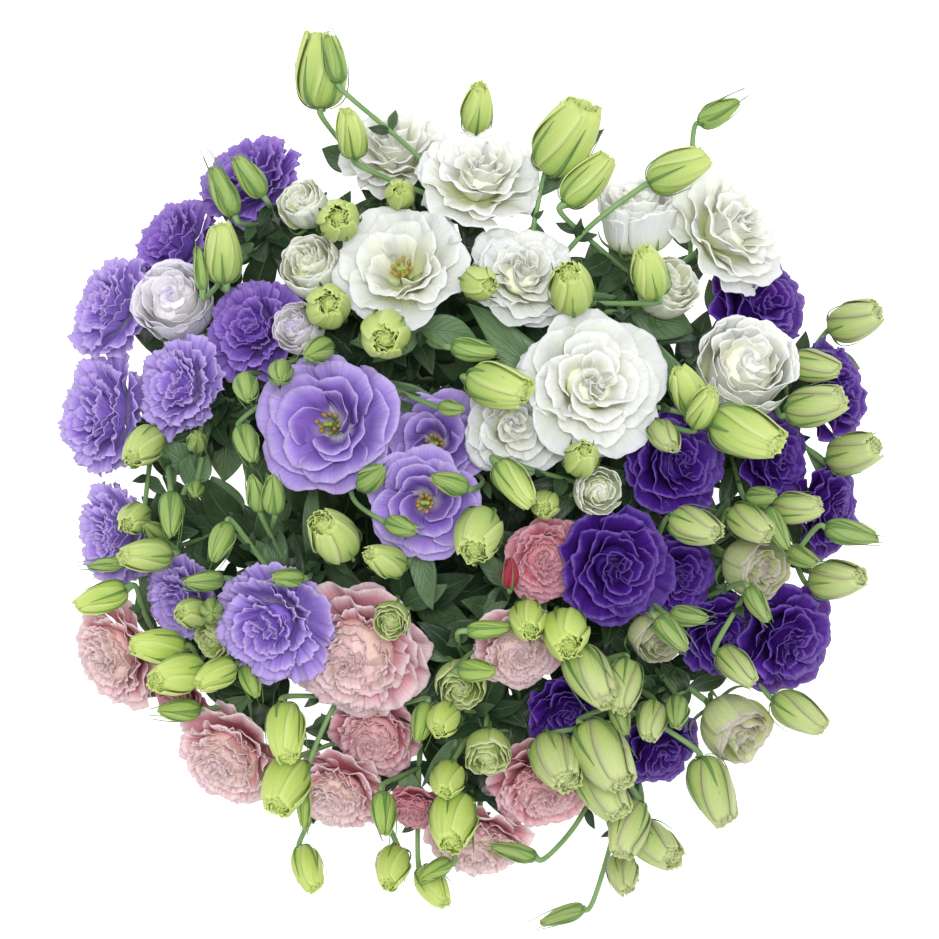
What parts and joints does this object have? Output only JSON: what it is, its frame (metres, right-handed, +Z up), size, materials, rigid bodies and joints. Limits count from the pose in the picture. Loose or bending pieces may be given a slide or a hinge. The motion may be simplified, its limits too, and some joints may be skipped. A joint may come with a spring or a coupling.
{
  "type": "lisianthus bouquet",
  "caption": "Round hand-tied bunch of cut lisianthus in white, lavender, pink and deep purple, with buds and leaves, standing on its spiralled stems.",
  "frame": {"origin": "middle of the footprint, on the surface that the bunch stands on", "axes": "+Z up through the flowers; seen from straight above with +Y away, +X right, the white and lavender flowers are at the far left and the purple ones at the right"},
  "size_m": [0.4136, 0.4538, 0.4602],
  "materials": {
    "leaf": "satin",
    "white_petals": "matte",
    "lilac_white_petals": "matte",
    "lavender_petals": "matte",
    "pink_petals": "matte",
    "purple_petals": "matte",
    "twine": "matte"
  },
  "bodies": {
    "root": {"stem_white_1": "leaf", "bloom_white_1_1": "white_petals", "bloom_white_1_2": "white_petals", "stem_white_2": "leaf", "bloom_white_2_1": "white_petals", "stem_white_3": "leaf", "bloom_white_3_1": "white_petals", "bloom_white_3_2": "white_petals", "bloom_white_3_3": "white_petals", "stem_white_4": "leaf", "bloom_white_4_1": "white_petals", "bloom_white_4_2": "white_petals", "bloom_white_4_3": "white_petals", "stem_lilac_1": "leaf", "bloom_lilac_1_1": "lavender_petals", "bloom_lilac_1_2": "lavender_petals", "bloom_lilac_1_3": "lilac_white_petals", "bloom_lilac_1_4": "lavender_petals", "stem_lilac_2": "leaf", "bloom_lilac_2_1": "lavender_petals", "bloom_lilac_2_2": "lavender_petals", "bloom_lilac_2_3": "lavender_petals", "stem_lilac_3": "leaf", "bloom_lilac_3_1": "lavender_petals", "bloom_lilac_3_2": "lavender_petals", "bloom_lilac_3_3": "lavender_petals", "stem_lilac_4": "leaf", "bloom_lilac_4_1": "lavender_petals", "bloom_lilac_4_2": "lavender_petals", "bloom_lilac_4_3": "lavender_petals", "stem_pink_1": "leaf", "bloom_pink_1_1": "pink_petals", "bloom_pink_1_2": "pink_petals", "bloom_pink_1_3": "pink_petals", "stem_pink_2": "leaf", "bloom_pink_2_1": "pink_petals", "bloom_pink_2_2": "pink_petals", "bloom_pink_2_3": "pink_petals", "bloom_pink_2_4": "pink_petals", "stem_pink_3": "leaf", "bloom_pink_3_1": "pink_petals", "bloom_pink_3_2": "pink_petals", "bloom_pink_3_3": "pink_petals", "bloom_pink_3_4": "pink_petals", "stem_purple_1": "leaf", "bloom_purple_1_1": "purple_petals", "bloom_purple_1_2": "purple_petals", "bloom_purple_1_3": "purple_petals", "stem_purple_2": "leaf", "bloom_purple_2_1": "purple_petals", "bloom_purple_2_2": "purple_petals", "bloom_purple_2_3": "purple_petals", "stem_purple_3": "leaf", "bloom_purple_3_1": "purple_petals", "bloom_purple_3_2": "purple_petals", "bloom_purple_3_3": "purple_petals", "stem_purple_4": "leaf", "bloom_purple_4_1": "purple_petals", "bloom_purple_4_2": "purple_petals", "tie": "twine"}
  },
  "joints": []
}
